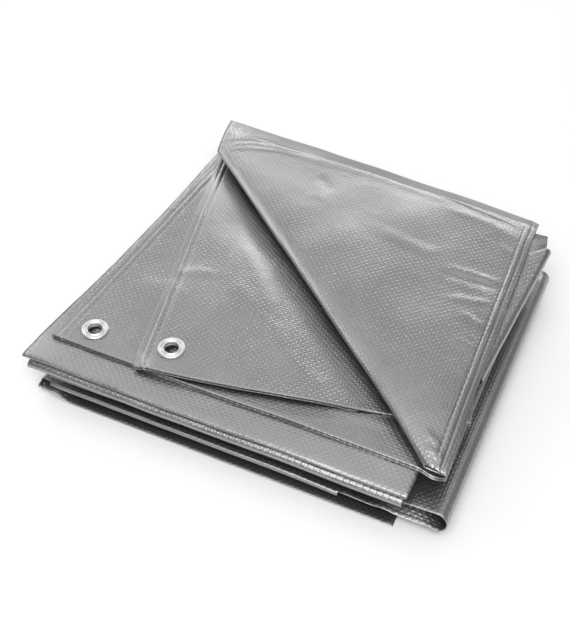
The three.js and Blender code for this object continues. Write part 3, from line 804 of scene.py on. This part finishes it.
def cloth_material(cloth):
    material, tree = node_tree("coated weave")
    shader = tree.nodes["Principled BSDF"]
    flat = add_node(tree, "ShaderNodeUVMap", uv_map="Flat").outputs[0]
    wander = add_node(tree, "ShaderNodeTexNoise", {"Scale": 60.0, "Detail": 1.0})
    tree.links.new(flat, wander.inputs["Vector"])
    drift = add_node(tree, "ShaderNodeVectorMath", operation="SCALE")
    drift.inputs["Scale"].default_value = 0.0022
    tree.links.new(wander.outputs["Color"], drift.inputs[0])
    uneven = add_node(tree, "ShaderNodeVectorMath", operation="ADD")
    tree.links.new(flat, uneven.inputs[0])
    tree.links.new(drift.outputs[0], uneven.inputs[1])
    height = weave_height(tree, cloth.pitch, uneven.outputs[0])
    patches = add_node(tree, "ShaderNodeTexNoise", {"Scale": 16.0, "Detail": 3.0, "Roughness": 0.55})
    tree.links.new(flat, patches.inputs["Vector"])
    # Tone: painted shade in the low parts of the weave, mixed with random patches of tone from the noise.
    tone = add_node(tree, "ShaderNodeMix", data_type="RGBA")
    tone.inputs[6].default_value = (*cloth.valley_shade, 1.0)
    tone.inputs[7].default_value = (*cloth.colour, 1.0)
    woven = maths(tree, "MULTIPLY", height, 0.3)
    worn = maths(tree, "MULTIPLY", patches.outputs[0], 0.9)
    painted_shade_and_patches = maths(tree, "ADD", woven, worn)
    tree.links.new(painted_shade_and_patches, tone.inputs[0])
    tree.links.new(tone.outputs[2], shader.inputs["Base Color"])
    gloss = add_node(tree, "ShaderNodeMapRange",
                     {"From Min": 0.25, "From Max": 0.75, "To Min": 0.28, "To Max": 0.33})
    tree.links.new(patches.outputs[0], gloss.inputs[0])
    tree.links.new(gloss.outputs[0], shader.inputs["Roughness"])
    crinkle = add_node(tree, "ShaderNodeTexNoise", {"Scale": 90.0, "Detail": 3.0, "Roughness": 0.6})
    tree.links.new(flat, crinkle.inputs["Vector"])
    relief_sum = maths(tree, "ADD", height, maths(tree, "MULTIPLY", crinkle.outputs[0], 2.0))
    bump = add_node(tree, "ShaderNodeBump", {"Strength": 1.0, "Distance": 0.00016})
    tree.links.new(relief_sum, bump.inputs["Height"])
    tree.links.new(bump.outputs[0], shader.inputs["Normal"])
    shader.inputs["Metallic"].default_value = 0.95
    return material


def thread_material(stitch):
    material, tree = node_tree("thread")
    shader = tree.nodes["Principled BSDF"]
    place = add_node(tree, "ShaderNodeTexCoord")
    twist = add_node(tree, "ShaderNodeTexWave", {"Scale": 700.0, "Distortion": 1.0})
    twist.bands_direction = "DIAGONAL"
    tree.links.new(place.outputs["Object"], twist.inputs["Vector"])
    # The thread is drawn darker in the low parts of its twist: painted shade in the grooves.
    tone = add_node(tree, "ShaderNodeMix", data_type="RGBA")
    tone.inputs[6].default_value = (*(c * 0.8 for c in stitch.colour), 1.0)
    tone.inputs[7].default_value = (*stitch.colour, 1.0)
    tree.links.new(twist.outputs["Fac"], tone.inputs[0])
    tree.links.new(tone.outputs[2], shader.inputs["Base Color"])
    bump = add_node(tree, "ShaderNodeBump", {"Strength": 0.4, "Distance": 0.0001})
    tree.links.new(twist.outputs["Fac"], bump.inputs["Height"])
    tree.links.new(bump.outputs[0], shader.inputs["Normal"])
    shader.inputs["Roughness"].default_value = 0.55
    return material


def metal_material(eyelet):
    material, tree = node_tree("eyelet metal")
    shader = tree.nodes["Principled BSDF"]
    place = add_node(tree, "ShaderNodeTexCoord")
    grain = add_node(tree, "ShaderNodeTexNoise", {"Scale": 900.0, "Detail": 2.0})
    tree.links.new(place.outputs["Object"], grain.inputs["Vector"])
    gloss = add_node(tree, "ShaderNodeMapRange", {"To Min": 0.25, "To Max": 0.42})
    tree.links.new(grain.outputs[0], gloss.inputs[0])
    tree.links.new(gloss.outputs[0], shader.inputs["Roughness"])
    bump = add_node(tree, "ShaderNodeBump", {"Strength": 0.15, "Distance": 0.0001})
    tree.links.new(grain.outputs[0], bump.inputs["Height"])
    tree.links.new(bump.outputs[0], shader.inputs["Normal"])
    shader.inputs["Base Color"].default_value = (*eyelet.colour, 1.0)
    shader.inputs["Metallic"].default_value = 0.7
    return material


def piece_from(bm, name, material):
    mesh = bpy.data.meshes.new(name)
    bm.to_mesh(mesh)
    bm.free()
    piece = bpy.data.objects.new(name, mesh)
    bpy.context.scene.collection.objects.link(piece)
    mesh.materials.append(material)
    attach(piece, "root")
    return piece


class TARP_OT_cloth(bpy.types.Operator):
    """Build the folded sheet with its hems"""
    bl_idname = "tarp.cloth"
    bl_label = "Cloth"

    def execute(self, context):
        cloth = context.scene.tarp_cloth
        cut = context.scene.tarp_eyelet.cut
        places = dict(EYELETS)
        lower_hole, upper_hole = (places["left_eyelet"], cut), (places["right_eyelet"], cut)
        bm = bmesh.new()
        bm.loops.layers.uv.new("Flat")
        columns = flap_columns(UPPER_FLAP["width"], cloth.side_hem)
        back_edge = upper_flap_row(SIDE_ROW, cloth.hem_width, columns)
        add_patch(bm, lower_rows())
        add_patch(bm, rolled_hem_rows())
        add_patch(bm, [fold_section(u) for u in spread(ACROSS)])
        add_patch(bm, [top_section(row, cloth.side_hem) for row in TOP_ROWS])
        add_patch(bm, upper_flap_rows(cloth, columns))
        add_patch(bm, upper_hem_rows(cloth, columns), upper_hole)
        add_patch(bm, lower_flap_rows(back_edge, cloth, columns))
        add_patch(bm, lower_hem_rows(cloth, columns), lower_hole)
        bmesh.ops.remove_doubles(bm, verts=bm.verts, dist=0.00003)
        add_patch(bm, upper_hem_rows(cloth, columns, UNDER_PLY_DROP), upper_hole)
        add_patch(bm, lower_hem_rows(cloth, columns, UNDER_PLY_DROP), lower_hole)
        bmesh.ops.recalc_face_normals(bm, faces=bm.faces)
        piece = piece_from(bm, "tarp_sheet", cloth_material(cloth))
        group = piece.vertex_groups.new(name="hem")
        solid = piece.modifiers.new("Ply", "SOLIDIFY")
        solid.thickness = cloth.hem
        solid.vertex_group = group.name
        solid.thickness_vertex_group = cloth.ply / cloth.hem
        solid.offset = 0.0
        rounded = piece.modifiers.new("Rounded edges", "BEVEL")
        rounded.width = cloth.ply * 0.35
        rounded.segments = 1
        rounded.limit_method = "ANGLE"
        rounded.angle_limit = math.radians(55.0)
        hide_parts("tarp_cloth", "lower_flap_hem", "upper_flap_hem")
        return {"FINISHED"}


def stitch_path(points, pitch):
    """Places and directions at an even pitch along a row of points."""
    room = pitch / 2
    for a, b in zip(points, points[1:]):
        step = b - a
        while room <= step.length:
            yield a + step * (room / step.length), step.normalized()
            room += pitch
        room -= step.length


class TARP_OT_stitching(bpy.types.Operator):
    """Sew the stitches along the narrow hems"""
    bl_idname = "tarp.stitching"
    bl_label = "Stitching"

    def execute(self, context):
        stitch, cloth = context.scene.tarp_stitch, context.scene.tarp_cloth
        hem = cloth.side_hem * HEM_ROWS[-1]
        flap = LOWER_FLAP
        runs = []
        side = []
        for row in spread(SIDE_STITCH_STEPS, *SIDE_STITCHES):
            over, (_, axis, _) = over_edge(row), turn_frame(row)
            side.append(top_point(row, hem / (over.x - axis.x), cloth.side_hem)[0])
        runs.append(side)
        corner = UPPER_FLAP["corner"][0]
        insets = spread(FLAP_STITCH_STEPS, *UPPER_STITCHES)
        runs.append([upper_flap(corner + hem, inward) for inward in insets])
        share = hem / (flap["right"] - flap["left"])
        runs.append([lower_flap(share, y) for y in spread(FLAP_STITCH_STEPS, *LOWER_STITCHES)])
        bm = bmesh.new()
        lift = Vector((0, 0, cloth.ply / 2))
        for points in runs:
            for place, way in stitch_path([settled(p) + CORNER + lift for p in points], stitch.pitch):
                turn = Vector((1, 0, 0)).rotation_difference(way).to_matrix().to_4x4()
                size = Matrix.Diagonal((stitch.length, stitch.width, stitch.width, 1.0))
                bmesh.ops.create_uvsphere(bm, u_segments=8, v_segments=6, radius=0.5,
                                          matrix=Matrix.Translation(place) @ turn @ size)
        for face in bm.faces:
            face.smooth = True
        piece_from(bm, "hem_stitches", thread_material(stitch))
        return {"FINISHED"}


class TARP_OT_eyelets(bpy.types.Operator):
    """Build the two eyelets in the flaps' hems"""
    bl_idname = "tarp.eyelets"
    bl_label = "Eyelets"

    def execute(self, context):
        eyelet, cloth = context.scene.tarp_eyelet, context.scene.tarp_cloth
        material = metal_material(eyelet)
        for node, (x, y) in EYELETS:
            surface = lower_flap_z if node == "left_eyelet" else upper_flap_z
            here, right, back = (settled(Vector((px, py, surface(px, py))))
                                 for px, py in ((x, y), (x + EYELET_SEAT, y), (x, y + EYELET_SEAT)))
            normal = (right - here).cross(back - here).normalized()
            seat = Matrix.Translation(here + CORNER + normal * cloth.ply / 2)
            seat = seat @ Vector((0, 0, 1)).rotation_difference(normal).to_matrix().to_4x4()
            bm = bmesh.new()
            ring = [bm.verts.new((radius, 0.0, height)) for radius, height in EYELET_SECTION]
            edges = [bm.edges.new((ring[k - 1], ring[k])) for k in range(len(ring))]
            bmesh.ops.spin(bm, geom=ring + edges, cent=(0, 0, 0), axis=(0, 0, 1), angle=math.tau,
                           steps=EYELET_STEPS, use_merge=True)
            bmesh.ops.remove_doubles(bm, verts=bm.verts, dist=0.000001)
            bmesh.ops.recalc_face_normals(bm, faces=bm.faces)
            bmesh.ops.transform(bm, matrix=seat, verts=bm.verts)
            for face in bm.faces:
                face.smooth = True
            piece = piece_from(bm, f"{node}_metal", material)
            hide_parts(node)
        return {"FINISHED"}


# Where the camera and the lights aim, in the packet.
AIM = Vector((0.183, 0.146, 0.03))
FLOOR_SIZE = 4.0

# Softboxes: the place from the aim, the width and height, and the power in watts.
SOFTBOXES = (
    ("overhead softbox", (0.00, 0.00, 1.60), (1.9, 1.9), 8.5),
    ("front softbox", (0.40, -1.00, 1.40), (1.8, 1.2), 20.0),
    ("behind panel", (-0.66, 1.42, 1.60), (2.2, 1.3), 1.6),
    ("left softbox", (-1.30, 0.30, 0.95), (0.9, 0.7), 4.0),
    ("back strip", (-0.50, 1.70, 0.80), (2.4, 0.22), 11.0),
)


class TARP_OT_stage(bpy.types.Operator):
    """Set up the floor, the soft light and the camera"""
    bl_idname = "tarp.stage"
    bl_label = "Stage"

    def execute(self, context):
        stage = context.scene.tarp_stage
        scene = context.scene
        scene.view_settings.view_transform = "Standard"
        bm = bmesh.new()
        bmesh.ops.create_grid(bm, x_segments=1, y_segments=1, size=FLOOR_SIZE)
        mesh = bpy.data.meshes.new("floor")
        bm.to_mesh(mesh)
        bm.free()
        floor = bpy.data.objects.new("floor", mesh)
        scene.collection.objects.link(floor)
        material, tree = node_tree("floor")
        tree.nodes["Principled BSDF"].inputs["Base Color"].default_value = (*stage.floor, 1.0)
        tree.nodes["Principled BSDF"].inputs["Roughness"].default_value = 0.9
        mesh.materials.append(material)
        world = scene.world or bpy.data.worlds.new("studio")
        scene.world = world
        world.use_nodes = True
        world.node_tree.nodes["Background"].inputs["Color"].default_value = (1, 1, 1, 1)
        world.node_tree.nodes["Background"].inputs["Strength"].default_value = stage.room
        aim = CORNER + AIM
        for name, place, (wide, tall), power in SOFTBOXES:
            lamp = bpy.data.lights.new(name, "AREA")
            lamp.energy = power
            lamp.shape = "RECTANGLE"
            lamp.size = wide
            lamp.size_y = tall
            holder = bpy.data.objects.new(name, lamp)
            holder.location = aim + Vector(place)
            holder.rotation_euler = (aim - holder.location).to_track_quat("-Z", "Y").to_euler()
            scene.collection.objects.link(holder)
        camera = bpy.data.cameras.new("camera")
        camera.lens = stage.lens
        camera.sensor_width = 36.0
        camera.clip_start = 0.01
        holder = bpy.data.objects.new("camera", camera)
        level = math.cos(stage.elevation) * stage.distance
        holder.location = aim + Vector((math.sin(stage.azimuth) * level, -math.cos(stage.azimuth) * level,
                                        math.sin(stage.elevation) * stage.distance))
        holder.rotation_euler = (aim - holder.location).to_track_quat("-Z", "Y").to_euler()
        scene.collection.objects.link(holder)
        scene.camera = holder
        return {"FINISHED"}


class TARP_PT_panel(bpy.types.Panel):
    """The tarp's pieces and sizes"""
    bl_idname = "TARP_PT_panel"
    bl_label = "Folded tarp"
    bl_space_type = "VIEW_3D"
    bl_region_type = "UI"
    bl_category = "Tarp"

    def draw(self, context):
        for group, operator in PANEL_ROWS:
            for name in getattr(context.scene, group).__annotations__:
                self.layout.prop(getattr(context.scene, group), name)
            self.layout.operator(operator)


PANEL_ROWS = (("tarp_cloth", "tarp.cloth"), ("tarp_stitch", "tarp.stitching"),
              ("tarp_eyelet", "tarp.eyelets"), ("tarp_stage", "tarp.stage"))
CLASSES = (TarpCloth, TarpStitch, TarpEyelet, TarpStage, TARP_OT_cloth, TARP_OT_stitching, TARP_OT_eyelets,
           TARP_OT_stage, TARP_PT_panel)


def register():
    for cls in CLASSES:
        bpy.utils.register_class(cls)
    bpy.types.Scene.tarp_cloth = PointerProperty(type=TarpCloth)
    bpy.types.Scene.tarp_stitch = PointerProperty(type=TarpStitch)
    bpy.types.Scene.tarp_eyelet = PointerProperty(type=TarpEyelet)
    bpy.types.Scene.tarp_stage = PointerProperty(type=TarpStage)


def unregister():
    del bpy.types.Scene.tarp_stage
    del bpy.types.Scene.tarp_eyelet
    del bpy.types.Scene.tarp_stitch
    del bpy.types.Scene.tarp_cloth
    for cls in reversed(CLASSES):
        bpy.utils.unregister_class(cls)


def main():
    register()
    bpy.ops.tarp.cloth()
    bpy.ops.tarp.stitching()
    bpy.ops.tarp.eyelets()
    bpy.ops.tarp.stage()


if __name__ == "__main__":
    main()
